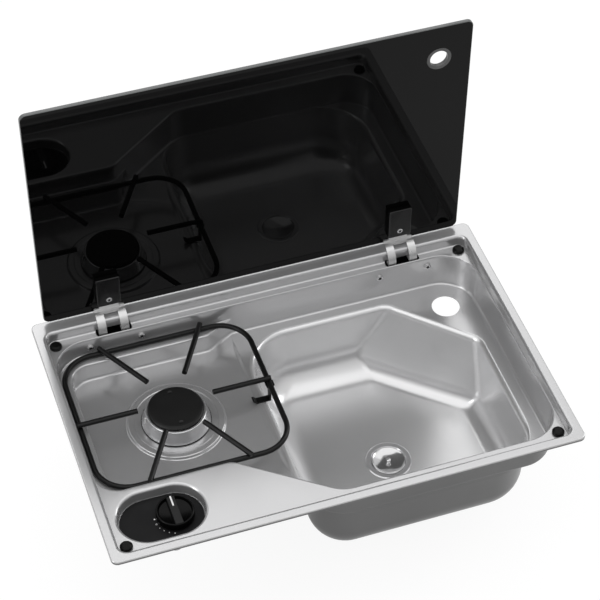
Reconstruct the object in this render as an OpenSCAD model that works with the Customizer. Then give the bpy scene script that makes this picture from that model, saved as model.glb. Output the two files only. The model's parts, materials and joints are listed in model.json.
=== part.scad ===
// Drop-in combination of a one-burner gas hob and a sink, with a glass lid that folds up at the back.
// Millimetres. +X is right, +Y is back, +Z is up. The origin is the middle of the tray, on the flange top.

/* [Tray] */
// Width of the flange
tray_w = 560; // [520:1:620]
// Depth of the flange
tray_d = 370; // [350:1:410]
// Corner radius of the flange
tray_r = 8; // [3:0.5:12]
// Thickness of the steel sheet
sheet = 1; // [0.6:0.1:1.2]
// Height of the flange with its turned-down lip
lip_h = 4; // [3:0.5:8]
// Radius of the edge rolled down into the lid well
edge_r = 4; // [3:0.25:5]
// Height of the seal strip below the lip
seal_proud = 0.3; // [0.1:0.1:1]
// Width of the seal strip
seal_w = 7; // [5:0.5:7]

/* [Lid well] */
// Flange width beside the lid well
side_flange = 12.5; // [12:0.5:20]
// Flange width in front of the lid well
front_flange = 12.5; // [12:0.5:20]
// Flange width behind the lid well
back_flange = 20.7; // [20:0.1:22]
// Corner radius of the lid well
well_r = 10; // [6:0.5:14]
// Depth of the deck that the lid closes onto
deck_depth = 14.5; // [14:0.1:18]

/* [Recess] */
// Deck width beside the recess
side_deck = 1.5; // [1.2:0.1:6]
// Deck width in front of the sink
front_deck = 16.5; // [14:0.5:24]
// Deck width behind the recess
back_deck = 10.8; // [10.4:0.1:12]
// Width that the slanting wall crosses
slant_w = 106; // [90:1:110]
// Depth that the slanting wall crosses
slant_d = 79; // [74:0.5:82]
// Distance of the slanting wall's front end from the bowl opening's left side
slant_right = 33.5; // [28:0.5:36]
// Corner radius of the recess at the hob's back
hob_back_r = 42; // [36:1:46]
// Corner radius of the recess at the hob's front
hob_front_r = 28; // [20:1:34]
// Corner radius of the recess behind the sink
sink_back_r = 45; // [40:1:48]
// Corner radius of the recess in front of the sink
sink_front_r = 42; // [36:1:46]
// Radius where the hob front turns into the slanting wall
slant_in_r = 20; // [10:1:30]
// Radius where the slanting wall meets the sink front
slant_out_r = 40; // [30:1:60]

/* [Levels] */
// Depth of the ledge under the pan support
ledge_depth = 38.5; // [37:0.5:42]
// Width of the ledge
ledge_w = 16; // [14:0.5:18]
// Depth of the shelf round the sink
shelf_depth = 63; // [60:0.5:68]
// Drop from the shelf to the hob floor
hob_drop = 2; // [1.5:0.25:3]
// Corner radius inside the ledge
ledge_r = 25; // [20:1:30]
// Width that the ledge's front end takes to run out
ledge_front_out = 21; // [16:1:24]
// Width that the ledge's back end takes to run out
ledge_back_out = 35; // [28:1:38]
// Corner radius at the ledge's front end
ledge_front_r = 12; // [8:1:14]
// Corner radius at the ledge's back end
ledge_back_r = 16; // [10:1:17]

/* [Sink bowl] */
// Width of the bowl opening at the shelf
bowl_w = 289; // [270:1:291]
// Shelf width to the right of the bowl opening
bowl_right = 15.5; // [12:0.5:30]
// Shelf width behind the bowl opening
bowl_back = 13; // [10:0.5:30]
// Length that the tap corner takes from the bowl's sides
bowl_tap_cut = 91.5; // [85:0.5:100]
// Corner radius of the bowl opening at the front left
bowl_front_left_r = 55; // [45:1:55]
// Corner radius of the bowl opening at the front right
bowl_front_right_r = 66; // [56:1:70]
// Corner radius of the bowl opening at both ends of the tap corner
bowl_tap_r = 27; // [20:1:34]
// Corner radius of the bowl opening at the back left
bowl_back_left_r = 65; // [56:1:70]
// Depth of the bowl below the shelf
bowl_depth = 86; // [80:1:130]
// Radius of the rim that turns down into the bowl
rim_r = 7; // [4:0.5:9]
// Radius between the floor and the bowl's front, left and back walls
bowl_fillet = 44; // [30:1:46]
// Radius between the floor and the bowl's right wall
bowl_right_fillet = 24; // [16:1:30]
// Radius between the floor and the wall under the tap hole
bowl_tap_fillet = 20; // [14:1:26]
// Slope of the bowl's front, left and back walls, over the straight part
bowl_draft = 2.5; // [0:0.25:5]
// Slope of the bowl's right wall, over the straight part
bowl_right_draft = 4.5; // [0:0.25:8]
// Slope of the wall under the tap hole, over the straight part
bowl_tap_draft = 25; // [10:0.5:28]
// Distance by which the tap corner's back end stands further left at the bowl's floor
bowl_tap_lean = 15; // [0:1:18]
// Smallest corner radius of the bowl's walls
bowl_least_r = 14; // [10:1:24]

/* [Tap hole] */
// Radius of the tap hole
tap_r = 17.5; // [15:0.5:17.5]
// Distance of the tap hole from the recess's right wall
tap_right = 39; // [37:0.5:42]
// Distance of the tap hole from the recess's back wall
tap_back = 41.5; // [40:0.5:44]

/* [Knob recess] */
// Length of the knob recess
cup_l = 100.2; // [92:0.5:110]
// Width of the knob recess
cup_w = 69.3; // [64:0.5:72]
// Depth of the knob recess below the deck
cup_depth = 15; // [14.5:0.5:20]
// Distance of the knob recess from the lid well's left wall
cup_left = 10; // [8:0.5:14]
// Distance of the knob recess from the lid well's front wall
cup_front = 15.2; // [12:0.1:16]

/* [Knob] */
// Radius of the knob at its base
knob_r = 22; // [19:0.5:25]
// Radius of the knob at its top
knob_top_r = 21.6; // [18:0.1:24]
// Height of the knob
knob_h = 8.9; // [8:0.1:12]
// Depth of the two hollows in the knob's top
knob_hollow = 4.5; // [3:0.1:5]
// Width of the knob's grip
grip_w = 7.5; // [5:0.5:10]
// Wall of the knob
knob_wall = 2; // [1.2:0.1:3]
// Way that the knob is pushed before it turns
push_travel = 2.5; // [1.5:0.1:3]
// Gap between the black plate under the knob and the recess's wall
plate_gap = 1.5; // [1:0.1:5]
// Thickness of the black plate
plate_t = 1.5; // [0.8:0.1:2]

/* [Gas valve] */
// Radius of the valve stem
stem_r = 3; // [2.5:0.1:3.5]
// Radius of the valve's threaded neck
neck_r = 7; // [6.5:0.1:8]
// Radius of the valve's body
valve_r = 13; // [12:0.5:16]
// Depth of the valve's round body below the knob recess
valve_h = 40; // [38:0.5:44]
// Radius of the gas inlet pipe
inlet_r = 4; // [3:0.5:5]
// Length of the gas inlet pipe outside its nut
inlet_l = 23; // [16:1:26]
// Radius of the pipe to the burner
pipe_r = 3; // [2:0.5:4]
// Centre-line radius of the pipe's bends
pipe_bend = 11; // [8:1:11]

/* [Burner] */
// Radius of the burner cap
cap_r = 33.2; // [28:0.2:35]
// Thickness of the burner cap
cap_t = 3; // [2.5:0.25:4]
// Depth of the burner cap's top below the flange
cap_depth = 39.25; // [38:0.25:40]
// Radius of the ported head
head_r = 31; // [26:0.5:31.5]
// Number of gas ports
ports = 24; // [16:1:30]
// Radius of a gas port
port_r = 1.2; // [0.8:0.1:1.4]
// Radius of the skirt at its foot
skirt_foot_r = 42.25; // [42:0.25:44.5]
// Radius of the skirt at its top
skirt_top_r = 36.5; // [36:0.25:38]
// Height of the skirt
skirt_h = 15; // [13:0.25:15.5]
// Radius of the raised seat at its foot
seat_foot_r = 58.9; // [56:0.1:62]
// Radius of the raised seat at its top
seat_top_r = 57; // [54:0.1:57.5]
// Height of the raised seat
seat_h = 3; // [2:0.25:4]
// Thickness of the gasket under the skirt
gasket_t = 1.5; // [1:0.25:2.5]
// Radius of the burner hole in the seat
burner_hole_r = 40; // [39.8:0.1:40.4]
// Radius of the mixing cup
mixer_r = 36; // [34:0.5:36]
// Depth of the mixing cup under the seat
mixer_h = 29; // [28:0.5:34]

/* [Pan support] */
// Distance of the burner in front of the frame's middle
burner_shift = 2.2; // [0:0.1:4]
// Diameter of the wire
wire = 6.5; // [5:0.5:7]
// Distance of the frame's left bar from the recess's left wall
grate_left = 6.8; // [5:0.2:10]
// Reach of the frame's right bar past the bowl opening's left side
grate_right = 9.7; // [8:0.1:11]
// Distance of the frame's front bar from the hob's front wall
grate_front = 15; // [8:0.2:16]
// Distance of the frame's back bar from the recess's back wall
grate_back = 7.1; // [5:0.1:11]
// Corner radius of the frame's centre line
grate_r = 40; // [30:1:46]
// Distance of the arms' inner ends from the middle
arm_start = 46; // [36:1:56]
// Width of the strap foot
strap_w = 8; // [6:0.5:10]
// Thickness of the strap foot
strap_t = 2; // [1.5:0.25:3]
// Length of the strap foot's sole
sole_l = 18; // [15:0.5:20]

/* [Lid] */
// Gap between the closed lid and the well's sides
lid_side_gap = 3.8; // [2:0.1:6]
// Gap between the closed lid and the well's front wall
lid_front_gap = 6.2; // [3:0.1:8]
// Gap between the closed lid and the well's back wall
lid_back_gap = 5; // [4.5:0.1:5.5]
// Thickness of the glass
glass_t = 5; // [4:0.5:6]
// Corner radius of the glass
glass_r = 8; // [4:0.5:14]
// Height of the lid bumpers
bumper_h = 4.7; // [3:0.1:5]
// Radius of the lid bumpers
bumper_r = 7.3; // [5:0.1:8]
// Distance of the finger hole from the lid's side edge
finger_side = 39.7; // [30:0.1:60]
// Distance of the finger hole from the lid's front edge
finger_front = 46.1; // [30:0.1:60]
// Radius of the finger hole inside its ring
finger_r = 11; // [9:0.5:13]

/* [Hinges] */
// Distance of each hinge's middle from the flange's side
hinge_side = 95.4; // [92:0.2:110]
// Length of the hinge slots
slot_l = 44; // [42:0.5:47]
// Height of the glass's lower edge above the flange, with the lid up
lid_lift = 3; // [2.8:0.1:4]
// Distance between the middles of a hinge's two arms
arm_gap = 27.4; // [24:0.2:29]
// Width of an arm
arm_w = 10; // [7:0.5:11]
// Thickness of the hinge strap
strap_plate = 2; // [1.5:0.1:2.1]
// Thickness of the pad between strap and glass
pad_t = 0.6; // [0.3:0.1:0.8]
// Radius of the hinge pin
pin_r = 2.5; // [2:0.1:3]
// Width of the hinge cover
cover_w = 29; // [26:0.5:34]
// Height of the hinge cover
cover_h = 44; // [36:1:56]
// Depth of the hinge cover, from the glass
cover_t = 8; // [6:0.25:9]
// Distance between the bracket screws
screw_gap = 63.5; // [60:0.5:68]

/* [Waste] */
// Distance of the drain from the bowl opening's left side
drain_left = 138.7; // [120:0.1:150]
// Distance of the drain from the bowl opening's front side
drain_front = 121.6; // [110:0.1:140]
// Radius of the waste's flange
waste_r = 28.3; // [27:0.1:32]
// Radius of the seat that holds the plug
dish_r = 21.4; // [20:0.1:24]
// Radius of the waste's outlet thread
outlet_r = 19; // [16:0.25:20]
// Length of the waste's outlet
outlet_l = 36; // [20:1:60]

/* [Hidden] */
$fn = 48;

// Overshoot of a cut past the face that it opens
cut = 1;
// Gap between pieces that move past each other
play = 0.3;
// Radial gap of a shaft in its bore
shaft_play = 0.05;
// Depth by which an arm is seated in the wire under it
weld = 0.3;
// Smallest corner radius of an outline
least_r = 2;
// Steps of a corner's arc
corner_steps = 8;
// Width of the strip between the hob floor and the bowl, which the grate's foot stands on
foot_strip = 3.5;
// Widths that the ledge has at the front and at the back beyond its width at the side
ledge_front_more = 1;
ledge_back_more = 1.5;

// Heights of the main levels
deck_z = -deck_depth;
ledge_z = -ledge_depth;
shelf_z = -shelf_depth;
hob_z = shelf_z - hob_drop;
seat_z = hob_z + seat_h;
bowl_z = shelf_z - bowl_depth;
cup_z = deck_z - cup_depth;
plate_z = cup_z + plate_t;

// Sides of the lid well
well_side = tray_w / 2 - side_flange;
well_front = -tray_d / 2 + front_flange;
well_back = tray_d / 2 - back_flange;

// Sides of the recess
recess_side = well_side - side_deck;
recess_front = well_front + front_deck;
recess_back = well_back - back_deck;
hob_front = recess_front + slant_d;

// Sides of the bowl opening
bowl_x1 = recess_side - bowl_right;
bowl_x0 = bowl_x1 - bowl_w;
bowl_y0 = recess_front + sheet;
bowl_y1 = recess_back - bowl_back;
body_r = dish_r + 1.2;
bowl_wall_h = bowl_depth - rim_r;

// Radii, rims, slopes and fillets of the bowl's five sides: front, right, tap corner, back and left
bowl_corners = [bowl_front_left_r, bowl_front_right_r, bowl_tap_r, bowl_tap_r, bowl_back_left_r];
bowl_rims = [0, rim_r, rim_r, rim_r, rim_r];
bowl_drafts = [bowl_draft, bowl_right_draft, bowl_tap_draft, bowl_draft, bowl_draft];
bowl_fillets = [bowl_fillet, bowl_right_fillet, bowl_tap_fillet, bowl_fillet, bowl_fillet];

// Ends of the slanting wall
slant_end_x = bowl_x0 + slant_right;
slant_x = slant_end_x - slant_w;

// Hob floor between the ledge's inner walls and the bowl
floor_x0 = -recess_side + ledge_w;
floor_x1 = bowl_x0 - foot_strip;
floor_y0 = hob_front + ledge_w + ledge_front_more;
floor_y1 = recess_back - ledge_w - ledge_back_more;

// Bars of the pan support's frame, along their centre lines
frame_x0 = -recess_side + grate_left;
frame_x1 = bowl_x0 + grate_right;
frame_y0 = hob_front + grate_front;
frame_y1 = recess_back - grate_back;
grate_w = frame_x1 - frame_x0;
grate_d = frame_y1 - frame_y0;
frame_z = ledge_z + wire / 2;
arm_z = frame_z + wire - weld;

// Middle of the burner, the tap hole, the knob and the drain
burner = [(frame_x0 + frame_x1) / 2, (frame_y0 + frame_y1) / 2 - burner_shift];
tap = [recess_side - tap_right, recess_back - tap_back];
cup_middle = [-well_side + cup_left + cup_l / 2, well_front + cup_front + cup_w / 2];
knob_axis = cup_middle + [(cup_l - cup_w) / 2, 0];
drain = [bowl_x0 + drain_left, bowl_y0 + drain_front];

// Closed lid, and the pivot that lays the upright lid down onto its bumpers
closed_z = deck_z + bumper_h + play;
lid_rear = well_back - lid_back_gap;
lid_front = well_front + lid_front_gap;
lid_d = lid_rear - lid_front;
lid_side = well_side - lid_side_gap;
glass_y = tray_d / 2 - glass_t;
pivot_y = (lid_rear + lid_lift + glass_y - closed_z) / 2;
pivot_z = lid_rear + lid_lift - pivot_y;

// Levels of the burner's stack, and the places of its screws and its probe round the burner
skirt_z = seat_z + gasket_t;
cap_z = -cap_depth;
head_top = cap_z - cap_t;
mixer_z = seat_z - sheet - mixer_h;
jet_z = mixer_z + 6;
burner_screw_r = mixer_r - 7;
burner_screw_angles = [30, 150, 270];
probe_at = [-37.5, -1];

// Levels of the valve and knob
valve_top = cup_z - sheet;
valve_bottom = valve_top - valve_h;
neck_top = plate_z + 2.4;
knob_z0 = plate_z + push_travel + play;
knob_z1 = knob_z0 + knob_h;
knob_floor = knob_z1 - knob_hollow;
knob_ceiling = knob_floor - 1.5;
bush_bottom = knob_ceiling - 3.9;
washer_top = bush_bottom - play;
stem_bottom = valve_top - 16;
outlet_z = jet_z;
probe_z = outlet_z + 10;
inlet_z = valve_top - 29;

// Block behind the valve's round body, which holds the outlet
block_w = 24;
block_y = 3;
block_h = 34;
probe_x = burner.x + probe_at.x - knob_axis.x;

// Length of a pipe's port on the valve and of a pipe nut, and the depth that a pipe sits in its port
port_l = 6;
nut_l = 9;
pipe_seat = 3;

// Levels of the waste
dish_z = bowl_z - 3.5;
thread_z = bowl_z - sheet - 10;
outlet_z0 = thread_z - outlet_l;

// Places of the hinges, their brackets, pins, straps, pads and covers
hinge_x = tray_w / 2 - hinge_side;
ear_x = slot_l / 2 + 3;
pin_l = 2 * ear_x + 4;
bracket_t = 2.5;
bracket_screw_z = (deck_z + ledge_z) / 2 - 1.5;
strap_y0 = glass_y - pad_t - strap_plate;
arm_z0 = lid_lift + 0.4;
arm_in = norm([strap_y0 - pivot_y, arm_z0 - pivot_z]);
cover_z0 = lid_lift + 13;
cover_screw_z = cover_z0 + 9.5;
plate_w = arm_gap + arm_w;
tongue_w = cover_w - 5;
fold_l = 5.5;

// Unit vector along v
function unit(v) = v / norm(v);

// Vector v turned by an angle
function turned(v, angle) = [v.x * cos(angle) - v.y * sin(angle), v.x * sin(angle) + v.y * cos(angle)];

// Corner p between edges of directions d1 and d2, after the edges move inward by e1 and e2
function moved_corner(p, d1, d2, e1, e2) =
    p + [e1 * d2.x - e2 * d1.x, e1 * d2.y - e2 * d1.y] / cross(d1, d2);

// Outline with rounded corners through anticlockwise points; edge i runs from point i to the next
function outline(points, radii, insets = 0, steps = corner_steps) =
    let (n = len(points), moves = is_list(insets) ? insets : [for (p = points) insets])
    [
        for (i = [0 : n - 1])
        let (
            here = points[i],
            d1 = unit(here - points[(i + n - 1) % n]),
            d2 = unit(points[(i + 1) % n] - here),
            e1 = moves[(i + n - 1) % n],
            e2 = moves[i],
            turn = atan2(cross(d1, d2), d1 * d2),
            r = max(least_r, radii[i] - sign(turn) * max(e1, e2)),
            start = moved_corner(here, d1, d2, e1, e2) - r * tan(abs(turn) / 2) * d1,
            centre = start + sign(turn) * r * [-d1.y, d1.x]
        )
        for (k = [0 : steps]) centre + turned(start - centre, turn * k / steps)
    ];

// Rectangle between two corners, with rounded corners
function rounded_box(x0, y0, x1, y1, r, inset = 0) =
    outline([[x0, y0], [x1, y0], [x1, y1], [x0, y1]], [r, r, r, r], inset);

function tray_outline(inset = 0) =
    rounded_box(-tray_w / 2, -tray_d / 2, tray_w / 2, tray_d / 2, tray_r, inset);

// Recess at deck level: hob at the left, sink at the right, with a slanting wall beside the knob
function recess_outline(inset = 0) = outline(
    [
        [-recess_side, hob_front], [slant_x, hob_front], [slant_end_x, recess_front],
        [recess_side, recess_front], [recess_side, recess_back], [-recess_side, recess_back]
    ],
    [hob_front_r, slant_in_r, slant_out_r, sink_front_r, sink_back_r, hob_back_r],
    inset
);

// Recess below the ledge, which ends on the slanting wall and on the back wall
function lower_outline(inset = 0) = outline(
    [
        [floor_x0, floor_y0], [slant_x + ledge_front_out - ledge_w, floor_y0],
        [slant_x + ledge_front_out, hob_front - ledge_front_out * slant_d / slant_w],
        [slant_end_x, recess_front], [recess_side, recess_front], [recess_side, recess_back],
        [bowl_x0 - 1.5, recess_back], [bowl_x0 - 1.5 - ledge_back_out, floor_y1], [floor_x0, floor_y1]
    ],
    [
        ledge_r, ledge_front_r, ledge_front_r, slant_out_r, sink_front_r,
        sink_back_r, ledge_back_r, ledge_back_r, ledge_r
    ],
    inset
);

function floor_outline(inset = 0) = rounded_box(floor_x0, floor_y0, floor_x1, floor_y1, ledge_r, inset);

function cup_outline(inset = 0) = rounded_box(
    cup_middle.x - cup_l / 2, cup_middle.y - cup_w / 2,
    cup_middle.x + cup_l / 2, cup_middle.y + cup_w / 2, cup_w / 2 - 0.01, inset
);

// Bowl's outline with a corner cut off for the tap, moved in at the front, right, tap corner, back and left
function bowl_outline(insets, lean = 0) = outline(
    [
        [bowl_x0, bowl_y0], [bowl_x1, bowl_y0], [bowl_x1, bowl_y1 - bowl_tap_cut],
        [bowl_x1 - bowl_tap_cut - lean, bowl_y1], [bowl_x0, bowl_y1]
    ],
    [for (i = [0 : 4]) max(bowl_corners[i], max(insets[(i + 4) % 5], insets[i]) + bowl_least_r)],
    insets
);

// Solid between two heights with an outline
module slab(points, bottom, top) translate([0, 0, bottom]) linear_extrude(top - bottom) polygon(points);

// Solid between two y values with an outline in x and z
module wall_slab(points, front, back)
    translate([0, back, 0]) rotate([90, 0, 0]) linear_extrude(back - front) polygon(points);

// Solid between two x values with an outline in y and z
module side_slab(points, left, right)
    translate([left, 0, 0]) rotate([90, 0, 90]) linear_extrude(right - left) polygon(points);

// Solid between two heights with the lid well's outline, grown outward
module well_slab(grow, bottom, top) {
    h = top - bottom;
    translate([-well_side - grow, well_front + well_r, bottom])
        cube([2 * (well_side + grow), well_back - well_front - 2 * well_r, h]);
    translate([-well_side + well_r, well_front - grow, bottom])
        cube([2 * (well_side - well_r), well_back - well_front + 2 * grow, h]);
    for (x = [-1, 1], y = [well_front + well_r, well_back - well_r])
        translate([x * (well_side - well_r), y, 0]) bar(well_r + grow, bottom, top);
}

// Round bar between two heights
module bar(r, bottom, top) translate([0, 0, bottom]) cylinder(r = r, h = top - bottom);

// Round bar along +Y, starting at a point
module bar_y(r, from, length) translate(from) rotate([-90, 0, 0]) cylinder(r = r, h = length);

// Round bar along +X, starting at a point
module bar_x(r, from, length) translate(from) rotate([0, 90, 0]) cylinder(r = r, h = length);

// Ring between two radii and two heights
module ring(inner, outer, bottom, top) difference() {
    bar(outer, bottom, top);
    bar(inner, bottom - cut, top + cut);
}

// Turned piece with a profile of radius and height
module turned_piece(profile) rotate_extrude() polygon(profile);

// Children once for each hinge side
module each_hinge() for (side = [-1, 1]) translate([side * hinge_x, 0, 0]) children();

// Section of the edge rolled from the flange down into the lid well
module edge_section() intersection() {
    difference() {
        translate([edge_r, -edge_r]) circle(edge_r);
        translate([edge_r, -edge_r]) circle(edge_r - sheet);
    }
    translate([0, -edge_r]) square(edge_r);
}

// Edge rolled from the flange down into the lid well, all the way round
module rolled_edge() {
    mid_y = (well_front + well_back) / 2;
    half_d = (well_back - well_front) / 2;
    for (turn = [0 : 3]) {
        along = turn % 2 == 0 ? half_d - well_r : well_side - well_r;
        out = turn % 2 == 0 ? well_side : half_d;
        translate([0, mid_y, 0]) rotate(turn * 90) translate([out, along, 0]) rotate([90, 0, 0])
            linear_extrude(2 * along) edge_section();
    }
    for (corner = [[1, 1, 0], [-1, 1, 90], [-1, -1, 180], [1, -1, 270]])
        translate([corner.x * (well_side - well_r), mid_y + corner.y * (half_d - well_r), 0])
            rotate(corner.z) rotate_extrude(angle = 90) translate([well_r, 0]) edge_section();
}

// Slot in the deck and the foot of the back wall that a hinge's arms pass through
module hinge_slot() {
    slot_y0 = recess_back + 1.5;
    slot_y1 = well_back + 1.7;
    slab(rounded_box(-slot_l / 2, slot_y0, slot_l / 2, slot_y1, 3), deck_z - sheet - cut, deck_z + 2);
}

// Flange, lid well and deck
module top_pressing() color("gainsboro") difference() {
    union() {
        difference() {
            slab(tray_outline(), -lip_h, 0);
            slab(tray_outline(sheet), -lip_h - cut, -sheet);
            well_slab(edge_r, -sheet - cut, cut);
        }
        rolled_edge();
        difference() {
            well_slab(sheet, deck_z - sheet, -edge_r);
            well_slab(0, deck_z, cut);
        }
    }
    slab(recess_outline(), deck_z - sheet - cut, cut);
    slab(cup_outline(), deck_z - sheet - cut, cut);
    each_hinge() hinge_slot();
}

// Cup pressed down round the knob
module knob_recess() color("gainsboro") difference() {
    slab(cup_outline(-sheet), cup_z - sheet, deck_z - sheet);
    slab(cup_outline(), cup_z, deck_z);
    translate(knob_axis) bar(neck_r, cup_z - sheet - cut, cup_z + cut);
}

// Children once at each bracket screw, with +Y along the screw and y = 0 on the recess's back wall
module each_bracket_screw() each_hinge() for (side = [-1, 1])
    translate([side * screw_gap / 2, recess_back, bracket_screw_z]) children();

// Walls of the recess from the deck to the ledge
module recess_wall() color("silver") difference() {
    slab(recess_outline(-sheet), ledge_z - sheet, deck_z - sheet);
    slab(recess_outline(), ledge_z - sheet - cut, deck_z);
    each_bracket_screw() bar_y(2.1, [0, -cut, 0], sheet + 2 * cut);
}

// Ledge round the hob, which carries the pan support
module pan_ledge() color("silver") difference() {
    slab(recess_outline(), ledge_z - sheet, ledge_z);
    slab(lower_outline(), ledge_z - sheet - cut, ledge_z + cut);
}

// Walls of the recess below the ledge
module lower_wall() color("silver") difference() {
    slab(lower_outline(-sheet), shelf_z - sheet, ledge_z - sheet);
    slab(lower_outline(), shelf_z - sheet - cut, ledge_z);
}

// Hob floor with the raised seat of the burner
module hob_floor() color("silver") difference() {
    union() {
        difference() {
            union() {
                slab(floor_outline(-sheet), hob_z - sheet, shelf_z - sheet);
                intersection() {
                    slab(floor_outline(-sheet), shelf_z - sheet, shelf_z);
                    slab(lower_outline(), shelf_z - sheet, shelf_z);
                }
            }
            slab(floor_outline(), hob_z, shelf_z + cut);
        }
        translate([burner.x, burner.y, hob_z - sheet])
            cylinder(r1 = seat_foot_r, r2 = seat_top_r, h = seat_h + sheet);
    }
    translate([burner.x, burner.y, hob_z - sheet - 0.01])
        cylinder(r1 = seat_foot_r - sheet, r2 = seat_top_r - sheet, h = seat_h + 0.01);
    translate(burner) bar(burner_hole_r, hob_z - sheet - cut, seat_z + cut);
}

// Shelf round the bowl, with the tap hole
module sink_shelf() color("silver") difference() {
    slab(lower_outline(), shelf_z - sheet, shelf_z);
    slab(floor_outline(-sheet), shelf_z - sheet - cut, shelf_z + cut);
    slab(bowl_outline([-sheet, 0, 0, 0, 0]), shelf_z - sheet - cut, shelf_z + cut);
    translate(tap) bar(tap_r, shelf_z - sheet - cut, shelf_z + cut);
}

// Inset of one of the bowl's sides at a height above the floor, on the inner face (skin 0) or the outer
function side_inset(i, h, skin) =
    let (fillet = bowl_fillets[i], foot = bowl_rims[i] + bowl_drafts[i] + fillet)
    h < fillet
        ? foot - sqrt(max(0, pow(fillet + skin, 2) - pow(fillet - h, 2)))
        : bowl_rims[i] - skin + bowl_drafts[i] * (bowl_wall_h - h) / (bowl_wall_h - fillet);

// Ring of the bowl at a height above its floor
function bowl_ring(h, skin) =
    let (lean = bowl_tap_lean * (bowl_wall_h - h) / bowl_wall_h)
    [for (p = bowl_outline([for (i = [0 : 4]) side_inset(i, h, skin)], lean)) [p.x, p.y, bowl_z + h]];

// Rings of the bowl's rim and wall, from the rim down
function wall_rings(skin) = concat(
    [
        for (a = [0 : 22.5 : 67.5])
        let (side = (rim_r - skin) * sin(a), z = shelf_z - rim_r + (rim_r - skin) * cos(a))
        [for (p = bowl_outline([-skin, side, side, side, side])) [p.x, p.y, z]]
    ],
    [bowl_ring(bowl_wall_h, skin), bowl_ring(bowl_fillet, skin)]
);

// Rings of the fillet, from the wall down
function base_rings(skin) = [
    for (a = [0 : 15 : 90]) bowl_ring(bowl_fillet - (bowl_fillet + skin) * sin(a), skin)
];

// Solid between inner rings and outer rings of equally many points; its last rings are closed if capped
module shell(inner, outer, capped) {
    rings = concat(inner, [for (i = [len(outer) - 1 : -1 : 0]) outer[i]]);
    n = len(rings[0]);
    count = len(rings);
    bottom = len(inner) - 1;
    sides = [
        for (i = [0 : count - 1]) if (!capped || i != bottom)
        for (j = [0 : n - 1])
        let (a = i * n + j, b = i * n + (j + 1) % n, c = ((i + 1) % count) * n)
        for (face = [[c + (j + 1) % n, b, a], [c + j, c + (j + 1) % n, a]]) face
    ];
    caps = [
        [for (j = [n - 1 : -1 : 0]) bottom * n + j],
        [for (j = [0 : n - 1]) (bottom + 1) * n + j]
    ];
    polyhedron([for (r = rings) each r], capped ? concat(sides, caps) : sides);
}

// Rolled rim and walls of the bowl
module sink_bowl() color("silver") shell(wall_rings(0), wall_rings(sheet), false);

// Floor of the bowl with its large fillets
module bowl_base() color("silver") difference() {
    shell(base_rings(0), base_rings(sheet), true);
    translate(drain) bar(body_r + 0.1, bowl_z - sheet - cut, bowl_z + cut);
}

// Soft strip that lies on the worktop
module flange_seal() color("dimgray") difference() {
    slab(tray_outline(sheet + play), -lip_h - seal_proud, -sheet);
    slab(tray_outline(sheet + play + seal_w), -lip_h - seal_proud - cut, -sheet + cut);
}

// Rubber domes that the closed lid rests on
module lid_bumpers() color("black") {
    side_inset = 10.2;
    front_inset = 15.5;
    for (x = [-1, 1], y = [well_front + front_inset, well_back - side_inset])
        translate([x * (well_side - side_inset), y, deck_z]) turned_piece([
            [0, 0], [bumper_r, 0], [bumper_r, bumper_h * 0.5],
            [bumper_r * 0.86, bumper_h * 0.8], [bumper_r * 0.6, bumper_h], [0, bumper_h]
        ]);
}

// Black plate under the knob
module knob_plate() color([0.12, 0.12, 0.12]) difference() {
    slab(cup_outline(plate_gap), cup_z, plate_z);
    translate(knob_axis) bar(neck_r, cup_z - cut, plate_z + cut);
}

// Mixing cup under the seat, with bosses for its screws and for the injector
module burner_cup() color("silver") translate(burner) difference() {
    union() {
        ring(mixer_r - 2, mixer_r + 12, seat_z - sheet - 2, seat_z - sheet);
        ring(mixer_r - 2, mixer_r, mixer_z, seat_z - sheet);
        bar(mixer_r, mixer_z, mixer_z + 2);
        for (a = burner_screw_angles) rotate(a) translate([burner_screw_r, 0, 0])
            bar(5.5, seat_z - sheet - 12, seat_z - sheet);
        bar(7, mixer_z, mixer_z + 12);
        rotate(180) bar_x(6, [0, 0, jet_z], mixer_r);
    }
    bar(3, jet_z, mixer_z + 12 + cut);
    rotate(180) bar_x(pipe_r, [0, 0, jet_z], mixer_r + 8);
    for (a = burner_screw_angles) rotate(a) translate([burner_screw_r, 0, 0])
        bar(2, seat_z - sheet - 10, seat_z + cut);
    translate(probe_at) bar(2.2, seat_z - sheet - 2 - cut, seat_z + cut);
}

// Bright cone round the head, with an inner floor and a mixing tube
module burner_skirt() color("gainsboro") translate(burner) difference() {
    turned_piece([
        [10, skirt_z], [skirt_foot_r - 1.2, skirt_z], [skirt_foot_r, skirt_z],
        [skirt_top_r, skirt_z + skirt_h], [skirt_top_r - 2.5, skirt_z + skirt_h],
        [skirt_top_r - 2.5, skirt_z + skirt_h - 1], [skirt_top_r - 1.5, skirt_z + skirt_h - 1],
        [skirt_foot_r - 2, skirt_z + 1.5], [10, skirt_z + 1.5]
    ]);
    for (a = burner_screw_angles) rotate(a) translate([burner_screw_r, 0, 0])
        bar(2.2, skirt_z - cut, skirt_z + 1.5 + cut);
    translate(probe_at) bar(2.6, skirt_z - cut, skirt_z + skirt_h + cut);
}

// Gasket between the seat and the skirt
module burner_gasket() color("black") translate(burner) ring(burner_hole_r + 0.8, 45.5, seat_z, skirt_z);

// Head with a ring of gas ports
module burner_head() color("gray") translate(burner) difference() {
    turned_piece([
        [12, skirt_z + 1.5], [20, skirt_z + 1.5], [22, head_top - 8], [head_r, head_top - 6],
        [head_r, head_top], [18, head_top], [18, head_top - 4], [12, head_top - 10]
    ]);
    for (i = [0 : ports - 1]) rotate(i * 360 / ports)
        bar_x(port_r, [16, 0, head_top - 2.6], head_r);
}

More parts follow.
